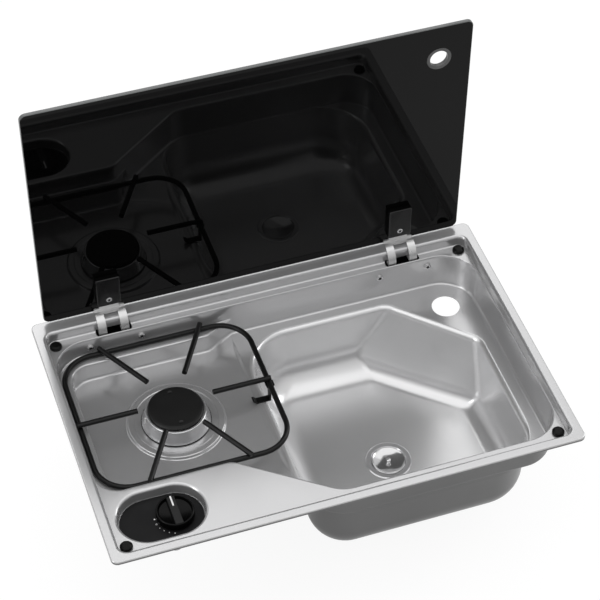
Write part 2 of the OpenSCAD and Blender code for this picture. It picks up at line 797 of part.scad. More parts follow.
// Enamelled cap with two dimples and a locating rim
module burner_cap() color([0.1, 0.1, 0.1]) translate(burner) difference() {
    turned_piece([
        [0, head_top], [15, head_top], [15, head_top - 3], [17.7, head_top - 3], [17.7, head_top],
        [cap_r - 0.8, head_top], [cap_r, head_top + 0.8], [cap_r, cap_z - 1.6],
        [cap_r - 1.6, cap_z - 0.4], [cap_r - 4, cap_z], [0, cap_z]
    ]);
    for (y = [-24, 24]) translate([0, y, cap_z + 5.2]) sphere(6);
}

// Screws that pull the skirt down onto the cup
module burner_screws() color("silver") translate(burner)
    for (a = burner_screw_angles) rotate(a) translate([burner_screw_r, 0, 0]) {
        bar(3.4, skirt_z + 1.5, skirt_z + 3.5);
        bar(2, seat_z - sheet - 9, skirt_z + 1.5);
    }

// Jet that feeds gas up the mixing tube
module injector() color("goldenrod") translate(burner) difference() {
    union() {
        bar(3, jet_z + 3.5, mixer_z + 12);
        translate([0, 0, mixer_z + 12]) cylinder(r = 5, h = 3, $fn = 6);
        bar(2, mixer_z + 15, mixer_z + 18);
    }
    bar(0.8, jet_z + 2, mixer_z + 18 + cut);
}

// Flame-failure sensor beside the head, with its lead to the valve
module thermocouple() color("silver") {
    tip = burner + probe_at;
    start_y = knob_axis.y + valve_r + port_l + cut;
    bend = 6;
    translate(tip) {
        bar(1.75, skirt_z + 8, skirt_z + 15.3);
        translate([0, 0, skirt_z + 15.3]) sphere(1.75);
        bar(1, probe_z + bend, skirt_z + 8);
        translate([0, -bend, probe_z + bend]) rotate([0, 90, 0]) rotate_extrude(angle = 90)
            translate([bend, 0]) circle(1);
    }
    bar_y(1, [tip.x, start_y, probe_z], tip.y - bend - start_y);
}

// Valve under the knob recess, with its neck, inlet and two outlets
module gas_valve() color("darkgray") translate(knob_axis) difference() {
    union() {
        bar(valve_r, valve_bottom, valve_top);
        translate([-block_w / 2, block_y, outlet_z - 6]) cube([block_w, valve_r - block_y + 2, block_h]);
        bar(neck_r, valve_top, neck_top);
        rotate(180) bar_x(6.5, [0, 0, inlet_z], valve_r + port_l);
        bar_y(6, [0, 0, outlet_z], valve_r + port_l);
        bar_y(3, [probe_x, 0, probe_z], valve_r + port_l);
    }
    bar(neck_r - 1.7, valve_top - 6, neck_top + cut);
    bar(stem_r + shaft_play, stem_bottom - push_travel - 1, valve_top);
    rotate(180) bar_x(inlet_r - 0.5, [valve_r - pipe_seat, 0, inlet_z], 20);
    bar_y(pipe_r, [0, valve_r - pipe_seat, outlet_z], 20);
    bar_y(1, [probe_x, valve_r - pipe_seat, probe_z], 20);
}

// Nut that clamps the valve to the knob recess
module valve_nut() color("silver") translate(knob_axis) difference() {
    translate([0, 0, plate_z]) cylinder(r = neck_r + 4, h = 2, $fn = 6);
    bar(neck_r, plate_z - cut, plate_z + 2 + cut);
}

// Gas inlet, which leaves to the left; it's drawn in where it sits in its nut
module inlet_pipe() color("peru") translate(knob_axis) rotate(180) difference() {
    free_x = valve_r + port_l + nut_l + cut;
    union() {
        bar_x(inlet_r, [free_x, 0, inlet_z], inlet_l);
        bar_x(inlet_r - 0.5, [valve_r - pipe_seat, 0, inlet_z], free_x - valve_r + 2 * pipe_seat);
    }
    bar_x(inlet_r - 1, [valve_r, 0, inlet_z], free_x + inlet_l);
}

// Pipe from the valve to the injector
module burner_pipe() color("peru") {
    run = burner.y - knob_axis.y - pipe_bend;
    reach = burner.x - knob_axis.x - mixer_r + 4;
    translate([knob_axis.x, knob_axis.y, outlet_z]) {
        bar_y(pipe_r, [0, valve_r - pipe_seat, 0], run - valve_r + pipe_seat);
        translate([pipe_bend, run, 0]) rotate(90) rotate_extrude(angle = 90)
            translate([pipe_bend, 0]) circle(pipe_r);
        if (reach > pipe_bend) bar_x(pipe_r, [pipe_bend, run + pipe_bend, 0], reach - pipe_bend);
    }
}

// Nut on a pipe along +X
module pipe_nut(bore, size) difference() {
    rotate([0, 90, 0]) cylinder(r = size, h = nut_l, $fn = 6);
    bar_x(bore, [-cut, 0, 0], nut_l + 2 * cut);
}

// Nuts on the pipes' ends
module pipe_nuts() color("goldenrod") {
    translate([knob_axis.x, knob_axis.y, inlet_z]) rotate(180) translate([valve_r + port_l, 0, 0])
        pipe_nut(inlet_r - 0.5, 8);
    translate([knob_axis.x, knob_axis.y, outlet_z]) rotate(90) translate([valve_r + port_l, 0, 0])
        pipe_nut(pipe_r, 7);
}

// Stem that the knob turns and pushes
module valve_stem() color("silver") translate(knob_axis) bar(stem_r, stem_bottom, knob_ceiling);

// Washer that rides down with the stem without turning
module stem_washer() color("dimgray") translate(knob_axis)
    ring(stem_r + shaft_play, neck_r - 1.8, washer_top - 0.8, washer_top);

// Bush that joins the knob to the stem
module knob_bush() color("white") translate(knob_axis) ring(stem_r, neck_r - 1.9, bush_bottom, knob_ceiling);

// Knob with a bar grip across its hollowed top
module knob() color("black") translate(knob_axis) difference() {
    turned_piece([
        [0, knob_z0], [knob_r, knob_z0], [knob_r, knob_z0 + 0.6], [knob_top_r, knob_z1 - 1],
        [knob_top_r - 0.9, knob_z1], [0, knob_z1]
    ]);
    bar(knob_top_r - knob_wall - 1, knob_z0 - cut, knob_ceiling);
    difference() {
        bar(knob_top_r - knob_wall, knob_floor, knob_z1 + cut);
        translate([-grip_w / 2, -knob_r, knob_floor - cut]) cube([grip_w, 2 * knob_r, knob_hollow + 3 * cut]);
    }
}

// White line on the grip's back end
module knob_pointer() color("white") translate([knob_axis.x - 0.9, knob_axis.y + knob_top_r - 15.5, knob_z1])
    cube([1.8, 14, 0.2]);

// Waste with its polished flange, plug seat and outlet thread
module waste_flange() color("gainsboro") translate(drain) turned_piece([
    [body_r, bowl_z], [waste_r, bowl_z], [waste_r, bowl_z + 0.5], [waste_r - 1.2, bowl_z + 1.1],
    [dish_r + 0.9, bowl_z + 0.8], [dish_r, bowl_z], [dish_r, dish_z], [outlet_r - 2, dish_z],
    [outlet_r - 2, outlet_z0], [outlet_r, outlet_z0], [outlet_r, thread_z], [body_r, thread_z]
]);

// Gasket under the bowl
module waste_gasket() color("black") translate(drain)
    ring(body_r + 0.1, body_r + 5, bowl_z - sheet - 3, bowl_z - sheet);

// Back nut under the gasket
module waste_nut() color([0.2, 0.2, 0.2]) translate(drain) difference() {
    union() {
        bar(body_r + 5, thread_z + 2, bowl_z - sheet - 3);
        for (i = [0 : 7]) rotate(i * 45) translate([body_r + 4, -3, thread_z + 2]) cube([3.5, 6, 5]);
    }
    bar(body_r, thread_z, bowl_z);
}

// Polished plug with a dished top and a small stud to lift it by
module waste_plug() color("silver") translate(drain) {
    base = dish_z + play;
    rim = dish_r - 0.5;
    turned_piece([
        [0, base], [rim - 2.5, base], [rim, bowl_z - 0.6], [rim, bowl_z + 0.5], [rim - 0.6, bowl_z + 0.9],
        [rim - 1.4, bowl_z + 0.6], [rim - 3, bowl_z - 0.4], [12, bowl_z - 1.3], [0, bowl_z - 1.8]
    ]);
    turned_piece([
        [0, base + 0.5], [2, base + 0.5], [2, bowl_z + 0.6],
        [2.8, bowl_z + 1.2], [2.8, bowl_z + 2.4], [1.8, bowl_z + 3], [0, bowl_z + 3.2]
    ]);
}

// Black bracket on the back of the recess's wall: a box round the arms, whose ears hold the pin
module hinge_bracket() color([0.12, 0.12, 0.12]) {
    wall_y = recess_back + sheet;
    foot_y = wall_y + bracket_t;
    rear_y = pivot_y + 7;
    low_z = bracket_screw_z - 7;
    top_z = deck_z - sheet - 0.8;
    difference() {
        translate([-screw_gap / 2 - 6.5, wall_y, low_z]) cube([screw_gap + 13, bracket_t, 14.5]);
        for (side = [-1, 1])
            bar_y(2.1, [side * screw_gap / 2, wall_y - cut, bracket_screw_z], 5);
    }
    for (side = [-1, 1]) difference() {
        side_slab([
            [wall_y, low_z], [rear_y, low_z], [rear_y, pivot_z + 4], [pivot_y - 5, pivot_z + 4],
            [well_back + sheet + 0.8, top_z], [foot_y, top_z - 4.2], [wall_y, top_z - 4.2]
        ], side * ear_x - 1, side * ear_x + 1);
        bar_x(pin_r, [side * ear_x - 2, pivot_y, pivot_z], 4);
    }
    translate([-ear_x, wall_y, low_z]) cube([2 * ear_x, rear_y - wall_y, 1.5]);
    translate([-ear_x, rear_y - 1.5, low_z]) cube([2 * ear_x, 1.5, pivot_z + 4 - low_z]);
}

module hinge_bracket_left() translate([-hinge_x, 0, 0]) hinge_bracket();
module hinge_bracket_right() translate([hinge_x, 0, 0]) hinge_bracket();

// Pin through the ears and the arms
module hinge_pin() color("silver") bar_x(pin_r, [-pin_l / 2, pivot_y, pivot_z], pin_l);
module hinge_pin_left() translate([-hinge_x, 0, 0]) hinge_pin();
module hinge_pin_right() translate([hinge_x, 0, 0]) hinge_pin();

// Screws through the recess's back wall into the brackets
module bracket_screws() color("silver") each_bracket_screw() {
    bar_y(4, [0, -2, 0], 2);
    bar_y(2, [0, 0, 0], 8);
}

// Nuts on those screws
module bracket_nuts() color("silver") each_bracket_screw() difference() {
    translate([0, sheet + bracket_t, 0]) rotate([-90, 0, 0]) cylinder(r = 4, h = 3, $fn = 6);
    bar_y(2, [0, 0, 0], 10);
}

// Frame of bent wire
module pan_frame() color([0.12, 0.12, 0.12]) translate([burner.x, burner.y + burner_shift, frame_z]) {
    half_w = grate_w / 2;
    half_d = grate_d / 2;
    for (side = [-1, 1]) {
        bar_x(wire / 2, [-half_w + grate_r, side * half_d, 0], grate_w - 2 * grate_r);
        bar_y(wire / 2, [side * half_w, -half_d + grate_r, 0], grate_d - 2 * grate_r);
    }
    for (corner = [[1, 1, 0], [-1, 1, 90], [-1, -1, 180], [1, -1, 270]])
        translate([corner.x * (half_w - grate_r), corner.y * (half_d - grate_r), 0])
            rotate(corner.z) rotate_extrude(angle = 90) translate([grate_r, 0]) circle(wire / 2);
}

// Six arms, seated and welded on the frame
module pan_arms() color([0.12, 0.12, 0.12]) difference() {
    translate([burner.x, burner.y, arm_z]) for (i = [0 : 5]) {
        shift = i < 3 ? burner_shift : -burner_shift;
        end = i % 3 == 0 ? (grate_w + wire) / 2 - 0.7 : ((grate_d + wire) / 2 + shift) / sin(60);
        rotate(i * 60) bar_x(wire / 2, [arm_start, 0, 0], end - arm_start);
    }
    pan_frame();
}

// Strap welded under the frame's right bar, with its foot on the strip beside the bowl
module grate_foot() color([0.12, 0.12, 0.12]) translate([0, burner.y - 2.4 - strap_w / 2, 0]) {
    leg_x = frame_x1 - strap_t / 2;
    foot_z = shelf_z + strap_t;
    toe_x = leg_x + strap_t - sole_l;
    rotate([90, 0, 0]) translate([0, 0, -strap_w]) linear_extrude(strap_w) union() {
        difference() {
            translate([frame_x1, frame_z]) circle(wire / 2 + strap_t);
            translate([frame_x1, frame_z]) circle(wire / 2);
            translate([frame_x1 - 20, frame_z]) square(40);
        }
        translate([leg_x, shelf_z]) square([strap_t, frame_z - wire / 2 - 0.5 - shelf_z]);
        translate([toe_x, shelf_z]) square([sole_l - 0.5, strap_t]);
        polygon([
            [toe_x, shelf_z], [toe_x + 1, shelf_z + strap_t], [toe_x - 3, foot_z + 4],
            [toe_x - 4.6, foot_z + 3]
        ]);
    }
}

// Glass lid, standing up
module glass_lid() color([0.05, 0.05, 0.06]) difference() {
    wall_slab(
        rounded_box(-lid_side, lid_lift, lid_side, lid_lift + lid_d, glass_r),
        glass_y, glass_y + glass_t
    );
    translate([lid_side - finger_side, glass_y, lid_lift + lid_d - finger_front])
        bar_y(finger_r + 2, [0, -cut, 0], glass_t + 2 * cut);
}

// Ring in the finger hole
module finger_hole_ring() color("dimgray")
    translate([lid_side - finger_side, glass_y, lid_lift + lid_d - finger_front]) rotate([-90, 0, 0])
        turned_piece([
            [finger_r, 0], [finger_r + 1, -0.8], [finger_r + 3.5, -0.8], [finger_r + 4, 0],
            [finger_r + 2, 0], [finger_r + 2, glass_t], [finger_r + 4, glass_t],
            [finger_r + 3.5, glass_t + 0.8], [finger_r + 1, glass_t + 0.8], [finger_r, glass_t]
        ]);

// Hinge strap: a plate on the glass with two arms that reach round the flange's edge to the pin
module hinge_strap() color("lightgray") {
    wall_slab(
        rounded_box(-plate_w / 2, arm_z0, plate_w / 2, arm_z0 + 5, 2),
        strap_y0, strap_y0 + strap_plate
    );
    translate([-plate_w / 2, strap_y0 - fold_l, arm_z0]) cube([plate_w, fold_l + 1, strap_plate]);
    wall_slab(
        rounded_box(-tongue_w / 2, arm_z0 + 1, tongue_w / 2, cover_z0 + cover_h - 4, 2),
        strap_y0, strap_y0 + strap_plate
    );
    first = atan2(arm_z0 - pivot_z, strap_y0 + strap_plate - pivot_y);
    for (side = [-1, 1]) difference() {
        union() {
            translate([side * arm_gap / 2 - arm_w / 2, strap_y0, arm_z0])
                cube([arm_w, strap_plate, 3]);
            translate([side * arm_gap / 2 - arm_w / 2, pivot_y, pivot_z]) rotate([90, 0, 90])
                linear_extrude(arm_w)
                intersection() {
                    difference() {
                        circle(arm_in + strap_plate);
                        circle(arm_in);
                    }
                    polygon([
                        [0, 0], 40 * [cos(first), sin(first)], 40 * [cos(130), sin(130)],
                        40 * [cos(186), sin(186)]
                    ]);
                }
            translate([side * arm_gap / 2 - arm_w / 2, pivot_y, pivot_z]) rotate([4, 0, 0])
                translate([0, -arm_in - 1, -1.4]) cube([arm_w, arm_in, 2]);
            bar_x(pin_r + 2, [side * arm_gap / 2 - arm_w / 2, pivot_y, pivot_z], arm_w);
        }
        bar_x(pin_r + shaft_play, [side * arm_gap / 2 - arm_w / 2 - cut, pivot_y, pivot_z], arm_w + 2 * cut);
    }
}

module hinge_strap_left() translate([-hinge_x, 0, 0]) hinge_strap();
module hinge_strap_right() translate([hinge_x, 0, 0]) hinge_strap();

// Pads between the straps and the glass
module hinge_pads() color("dimgray") each_hinge() wall_slab(
    rounded_box(-tongue_w / 2, lid_lift + 4, tongue_w / 2, cover_z0 + cover_h - 4, 2),
    glass_y - pad_t, glass_y
);

// Block over the strap's upper part
module hinge_cover() color("black") difference() {
    wall_slab(
        rounded_box(-cover_w / 2, cover_z0, cover_w / 2, cover_z0 + cover_h, 2),
        glass_y - cover_t, glass_y
    );
    translate([-tongue_w / 2, strap_y0, cover_z0 - cut])
        cube([tongue_w, pad_t + strap_plate + cut, cover_h - 4 + cut]);
    bar_y(3.5, [0, glass_y - cover_t - cut, cover_screw_z], cut + 1.5);
    bar_y(2, [0, glass_y - cover_t - cut, cover_screw_z], cover_t);
}

module hinge_cover_left() translate([-hinge_x, 0, 0]) hinge_cover();
module hinge_cover_right() translate([hinge_x, 0, 0]) hinge_cover();

// Screws that hold the covers to the straps
module cover_screws() color("silver") each_hinge() {
    bar_y(3.5, [0, glass_y - cover_t - 0.2, cover_screw_z], 1.7);
    bar_y(2, [0, glass_y - cover_t + 1.5, cover_screw_z], strap_y0 - glass_y + cover_t - 1.5);
}

top_pressing();
knob_recess();
recess_wall();
pan_ledge();
lower_wall();
hob_floor();
sink_shelf();
sink_bowl();
bowl_base();
flange_seal();
lid_bumpers();
knob_plate();
burner_cup();
burner_skirt();
burner_gasket();
burner_head();
burner_cap();
burner_screws();
injector();
thermocouple();
gas_valve();
valve_nut();
inlet_pipe();
burner_pipe();
pipe_nuts();
waste_flange();
waste_gasket();
waste_nut();
waste_plug();
hinge_bracket_left();
hinge_bracket_right();
hinge_pin_left();
hinge_pin_right();
bracket_screws();
bracket_nuts();
pan_frame();
pan_arms();
grate_foot();
glass_lid();
finger_hole_ring();
hinge_strap_left();
hinge_strap_right();
hinge_pads();
hinge_cover_left();
hinge_cover_right();
cover_screws();
stem_washer();
knob();
knob_pointer();
knob_bush();
valve_stem();
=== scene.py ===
"""Hob and sink combination with a glass lid, dressed for rendering. Metres, +X right, +Y back, +Z up."""
import json
import math

import bpy
import bmesh
from mathutils import Matrix, Vector
from mathutils.geometry import delaunay_2d_cdt


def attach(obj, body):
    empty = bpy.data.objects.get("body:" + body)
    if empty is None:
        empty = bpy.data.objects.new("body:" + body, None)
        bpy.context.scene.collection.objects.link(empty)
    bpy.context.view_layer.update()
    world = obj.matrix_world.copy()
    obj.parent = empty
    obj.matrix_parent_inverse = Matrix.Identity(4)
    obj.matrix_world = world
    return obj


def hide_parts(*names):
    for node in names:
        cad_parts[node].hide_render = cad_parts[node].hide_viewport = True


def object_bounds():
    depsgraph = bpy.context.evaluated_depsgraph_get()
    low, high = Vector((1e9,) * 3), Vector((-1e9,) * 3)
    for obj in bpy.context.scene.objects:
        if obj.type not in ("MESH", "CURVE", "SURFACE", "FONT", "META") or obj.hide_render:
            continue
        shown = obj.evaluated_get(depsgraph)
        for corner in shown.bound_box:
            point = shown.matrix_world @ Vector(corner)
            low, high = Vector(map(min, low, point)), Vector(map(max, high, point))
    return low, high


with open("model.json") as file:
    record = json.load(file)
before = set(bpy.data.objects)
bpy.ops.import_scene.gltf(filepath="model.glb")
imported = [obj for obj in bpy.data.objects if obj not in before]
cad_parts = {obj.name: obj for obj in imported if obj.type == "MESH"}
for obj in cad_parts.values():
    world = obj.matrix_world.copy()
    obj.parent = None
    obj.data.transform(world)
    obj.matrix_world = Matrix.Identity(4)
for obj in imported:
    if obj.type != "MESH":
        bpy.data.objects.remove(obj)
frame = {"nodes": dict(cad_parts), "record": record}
cad_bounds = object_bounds()
nodes = frame["nodes"]

# Sizes in millimetres; the frame is in metres

MM = 0.001
# Heights of the deck, the pan ledge, the sink's shelf and the hob floor
DECK, LEDGE, SHELF, HOB = -14.5, -38.5, -63.0, -65.0
# Height and outer radius of the raised seat round the burner
SEAT, SEAT_R = HOB + 3.0, 60.5
# The bowl's rolled rim, the wall below it, its deepest fillet and its floor's height
BOWL_RIM, BOWL_WALL, BOWL_FILLET = 7, 79, 44
BOWL = SHELF - BOWL_RIM - BOWL_WALL
# Middles of the burner, the tap hole, the knob and the drain
BURNER = (-144.0, 40.0)
TAP = (227.0, 112.0)
KNOB = (-191.95, -122.65)
DRAIN = (100.2, -33.4)
TAP_R = 17.5
# Corners and corner radii of the recess at deck level and below the ledge, from the front left
RECESS = [
    (-266, -77), (-111, -77), (-90, -92.65), (-5, -156), (266, -156),
    (266, 153.5), (-40, 153.5), (-75, 153.5), (-266, 153.5)
]
LOWER = [
    (-250, -60), (-106, -60), (-90, -92.65), (-5, -156), (266, -156),
    (266, 153.5), (-40, 153.5), (-75, 136), (-250, 136)
]
RECESS_RADII = [28, 20, 5, 40, 42, 45, 5, 5, 42]
LOWER_RADII = [25, 12, 12, 40, 42, 45, 16, 16, 25]
# The hob floor's right, front and back edges, and the width of the fold up to the shelf
HOB_RIGHT, HOB_FRONT, HOB_BACK, FOLD = -41.0, -60, 136, 4.5
# Corners of the bowl's opening: front left, front right, tap side's two, back left
BOWL_POINTS = [(-38.5, -155), (250.5, -155), (250.5, 49), (159, 140.5), (-38.5, 140.5)]
BOWL_RADII = [55, 66, 27, 27, 65]
# Rim, lean and fillet of the bowl's front, right, tap, back and left walls
BOWL_SIDES = [(0, 2.5, 44), (7, 4.5, 24), (7, 25, 20), (7, 2.5, 44), (7, 2.5, 44)]
# How far the tap side's back corner moves left at the floor, and the least corner radius
TAP_LEAN, BOWL_LEAST_R = 15, 14
# Roundings of the recess's edge and the knob cup's edge at the deck
RECESS_EDGE, CUP_EDGE = 3.0, 3.5
# Shares of a rounding that fit the deck's narrow strips: recess sides, recess back, well sides
SIDE_SHARE, BACK_SHARE, WELL_SHARE = 0.22, 0.5, 0.2
# Share of the floor fillet that fits the sink's front edge
FRONT_SHARE = 0.2
# Slots of the sheet's skin: the top side's two steels, then two underneath; the bowl's steel is painted
# lighter as painted light, and the underside's steel, also on the lip's outer face, is painted darker as
# painted shade
LIP_SLOT, BOWL_SLOT, UNDER_OFFSET = 2, 1, 2
SHEET = 0.9
# Middles of the two hinges
HINGES = (-184.6, 184.6)
# Front face and thickness of the upright glass, its finger hole, and the covers in front of it
GLASS_Y, GLASS_T = 180.0, 5.0
HOLE, HOLE_R = (224.0, 282.5), 13.0
COVER_T = 8


# Camera

def add_camera():
    """The photograph's view: a long lens from the front left, well above the tray."""
    data = bpy.data.cameras.new("photo_camera")
    camera = bpy.data.objects.new("photo_camera", data)
    bpy.context.scene.collection.objects.link(camera)
    camera.location = (-0.5261, -1.5016, 1.8161)
    roll = Matrix.Rotation(math.radians(1.33), 3, "Z")
    tilt = Matrix.Rotation(math.radians(42.17), 3, "X")
    turn = Matrix.Rotation(math.radians(-20.24), 3, "Z")
    camera.rotation_euler = (turn @ tilt @ roll).to_euler()
    data.sensor_width = 36
    data.lens = 124.26
    data.shift_x = -0.043
    data.shift_y = 0.0773
    data.clip_end = 20
    bpy.context.scene.camera = camera


# Materials

def new_material(name, color, roughness, metallic=0.0):
    """A principled material; returns it with its node tree and shader."""
    material = bpy.data.materials.new(name)
    material.use_nodes = True
    tree = material.node_tree
    shader = tree.nodes["Principled BSDF"]
    shader.inputs["Base Color"].default_value = (*color, 1)
    shader.inputs["Roughness"].default_value = roughness
    shader.inputs["Metallic"].default_value = metallic
    return material, tree, shader


def noise(tree, scale, detail=4.0):
    """Noise in object coordinates."""
    place = tree.nodes.new("ShaderNodeTexCoord")
    texture = tree.nodes.new("ShaderNodeTexNoise")
    texture.inputs["Scale"].default_value = scale
    texture.inputs["Detail"].default_value = detail
    tree.links.new(place.outputs["Object"], texture.inputs["Vector"])
    return texture.outputs["Fac"]


def spread(tree, factor, low, high):
    """The factor, mapped from its middle range onto low to high."""
    span = tree.nodes.new("ShaderNodeMapRange")
    span.inputs["From Min"].default_value = 0.3
    span.inputs["From Max"].default_value = 0.7
    span.inputs["To Min"].default_value = low
    span.inputs["To Max"].default_value = high
    tree.links.new(factor, span.inputs["Value"])
    return span.outputs["Result"]


def bump(tree, shader, factor, strength, distance):
    """Bump from a factor on the shader's normal."""
    node = tree.nodes.new("ShaderNodeBump")
    node.inputs["Strength"].default_value = strength
    node.inputs["Distance"].default_value = distance
    tree.links.new(factor, node.inputs["Height"])
    tree.links.new(node.outputs["Normal"], shader.inputs["Normal"])


def shades(tree, shader, factor, dark, light):
    """Base colour that runs from dark to light with the factor."""
    mix = tree.nodes.new("ShaderNodeMix")
    mix.data_type = "RGBA"
    mix.inputs["A"].default_value = (*dark, 1)
    mix.inputs["B"].default_value = (*light, 1)
    tree.links.new(spread(tree, factor, 0, 1), mix.inputs["Factor"])
    tree.links.new(mix.outputs["Result"], shader.inputs["Base Color"])


def metal(name, dark, light, rough_low, rough_high, metallic=1.0):
    """Metal with a slight cloud in its colour and in its polish."""
    cloud_scale, polish_scale, detail = 9, 25, 2.0
    material, tree, shader = new_material(name, light, rough_high, metallic)
    shades(tree, shader, noise(tree, cloud_scale, detail), dark, light)
    polish = spread(tree, noise(tree, polish_scale, detail), rough_low, rough_high)
    tree.links.new(polish, shader.inputs["Roughness"])
    return material


def coated(name, dark, light, rough_low, rough_high, grain=1500, depth=0.05, gloss=0.25):
    """Paint, enamel, rubber, plastic or glass; grain and depth set its fine surface, gloss its mirroring."""
    cloud_scale, bump_height = 40, 0.0001
    material, tree, shader = new_material(name, light, rough_high)
    shader.inputs["Specular IOR Level"].default_value = gloss
    shades(tree, shader, noise(tree, cloud_scale), dark, light)
    fine = noise(tree, grain)
    tree.links.new(spread(tree, fine, rough_low, rough_high), shader.inputs["Roughness"])
    if depth:
        bump(tree, shader, fine, depth, bump_height)
    return material


def grey(level, blue=0.0):
    """Neutral colour, with a little more blue if asked."""
    return (level, level, level + blue)


# Each metal's dark and light colour, roughness range and, where it isn't 1, metallic share
METALS = {
    "steel": (grey(0.57, 0.005), grey(0.585, 0.005), 0.21, 0.23, 0.62),
    # The bowl's steel is the deck's steel with a lighter colour: painted light that makes up for the shade
    # and dark reflections in the deep bowl
    "steel_bowl": (grey(0.74, 0.005), grey(0.76, 0.005), 0.23, 0.25, 0.66),
    # The underside's steel is the same steel with a far darker colour: painted shade for the sheet's
    # underside and the lip's outer face
    "under": (grey(0.16), grey(0.18), 0.2, 0.24),
    "aluminium": (grey(0.5, 0.01), grey(0.6, 0.01), 0.35, 0.5),
    "skirt": (grey(0.62, 0.01), grey(0.66, 0.01), 0.16, 0.2, 0.7),
    "brass": ((0.55, 0.4, 0.16), (0.65, 0.5, 0.22), 0.25, 0.4),
    "copper": ((0.6, 0.28, 0.16), (0.7, 0.36, 0.22), 0.25, 0.4),
    "zinc": (grey(0.66), grey(0.7), 0.22, 0.3, 0.7),
    "polished": (grey(0.62, 0.005), grey(0.66, 0.005), 0.08, 0.11, 0.85),
    "waste": (grey(0.66, 0.01), grey(0.7, 0.01), 0.12, 0.16, 0.6),
}

# Each other material's dark and light colour, roughness range and, where given, grain, depth and gloss
COATED = {
    "seal": (grey(0.01), grey(0.02), 0.7, 0.9, 600, 0.3),
    "bumper": (grey(0.002), grey(0.003), 0.25, 0.4, 1500, 0.0, 0.15),
    "plate_black": (grey(0.008, 0.0005), grey(0.011, 0.0005), 0.45, 0.55, 2500, 0.05, 0.15),
    "enamel": (grey(0.005), grey(0.008), 0.4, 0.5, 2500, 0.05, 0.3),
    "gasket": (grey(0.004), grey(0.008), 0.6, 0.8),
    "wire": (grey(0.004), grey(0.006), 0.3, 0.4),
    "glass": (grey(0.001), grey(0.0013), 0.012, 0.02, 30, 0.0, 0.15),
    "glass_edge": ((0.11, 0.115, 0.115), (0.15, 0.155, 0.155), 0.1, 0.2, 30, 0.0, 0.5),
    "grip": (grey(0.012), grey(0.016), 0.3, 0.4, 1500, 0.05, 0.2),
    # Near-black for the screws' sockets: painted shade on flat discs in place of the recesses
    "socket_shade": (grey(0.004), grey(0.006), 0.5, 0.6),
    "ring": (grey(0.1), grey(0.14), 0.25, 0.35),
    "pad": (grey(0.01), grey(0.02), 0.6, 0.8),
    "cover": (grey(0.001), grey(0.002), 0.14, 0.2, 30, 0.0, 0.4),
    "knob": (grey(0.001), grey(0.002), 0.16, 0.22, 30, 0.0, 0.12),
    "pointer": (grey(0.8), grey(0.85), 0.4, 0.5),
    "plastic": (grey(0.01), grey(0.02), 0.4, 0.5),
}


def make_materials():
    """One material for each of the record's slots, and some for parts of a piece."""
    made = {name: metal(name, *values) for name, values in METALS.items()}
    made.update({name: coated(name, *values) for name, values in COATED.items()})
    return made


def dress_cad(materials):
    """Give each CAD node its slot's material."""
    for entry in frame["record"]["subparts"]:
        mesh = nodes[entry["node"]].data
        mesh.materials.clear()
        mesh.materials.append(materials[entry["material_slot"]])


# Outlines

def outline(points, radii, insets=0.0, steps=12):
    """Loop with rounded corners through anticlockwise points; edge i runs from point i to the next."""
    count = len(points)
    moves = insets if isinstance(insets, (list, tuple)) else [insets] * count
    least_r, reach = 2.0, 2
    loop = []
    for i in range(count):
        here = Vector(points[i])
        d1 = (here - Vector(points[i - 1])).normalized()
        d2 = (Vector(points[(i + 1) % count]) - here).normalized()
        n1 = Vector((-d1.y, d1.x))
        e1, e2 = moves[i - 1], moves[i]
        side = d1.x * d2.y - d1.y * d2.x
        # A point on a straight edge gets as many points as a corner, so that loops match each other
        if abs(side) < 1e-6:
            middle = here + n1 * e2
            loop += [middle + d1 * reach * (2 * k / steps - 1) for k in range(steps + 1)]
            continue
        turn = math.atan2(side, d1.dot(d2))
        sign = 1 if turn > 0 else -1
        radius = max(least_r, radii[i] - sign * max(e1, e2))
        corner = here + Vector((e1 * d2.x - e2 * d1.x, e1 * d2.y - e2 * d1.y)) / side
        start = corner - d1 * radius * math.tan(abs(turn) / 2)
        centre = start + n1 * sign * radius
        arm = start - centre
        for k in range(steps + 1):
            angle = turn * k / steps
            c, s = math.cos(angle), math.sin(angle)
            loop.append(centre + Vector((arm.x * c - arm.y * s, arm.x * s + arm.y * c)))
    return loop


def rounded_box(x0, y0, x1, y1, radius, insets=0.0):
    """Rectangle loop; its edges run front, right, back, left."""
    return outline([(x0, y0), (x1, y0), (x1, y1), (x0, y1)], [radius] * 4, insets)


def circle(centre, radius, steps=64):
    """Round loop, anticlockwise."""
    angles = [2 * math.pi * k / steps for k in range(steps)]
    return [Vector((centre[0] + radius * math.cos(a), centre[1] + radius * math.sin(a))) for a in angles]


def arc(count, start=0.0, end=90.0):
    """Angles in radians from start to end, in equal steps."""
    return [math.radians(start + (end - start) * k / count) for k in range(count + 1)]


def at_height(loop, z):
    """The loop as points in space; z is a number or a function of x and y."""
    return [Vector((p.x, p.y, z(p.x, p.y) if callable(z) else z)) for p in loop]


def inside(loop, point):
    """Whether the point lies in the loop."""
    found = False
    for a, b in zip(loop, loop[1:] + loop[:1]):
        if (a.y > point.y) != (b.y > point.y):
            if point.x < (b.x - a.x) * (point.y - a.y) / (b.y - a.y) + a.x:
                found = not found
    return found


# Mesh building

def add_band(bm, loops):
    """Quads between loops of equally many points; returns the faces."""
    rows = [[bm.verts.new(p * MM) for p in loop] for loop in loops]
    faces = []
    for low, high in zip(rows, rows[1:]):
        for k in range(len(low)):
            n = (k + 1) % len(low)
            faces.append(bm.faces.new((low[k], low[n], high[n], high[k])))
    return faces


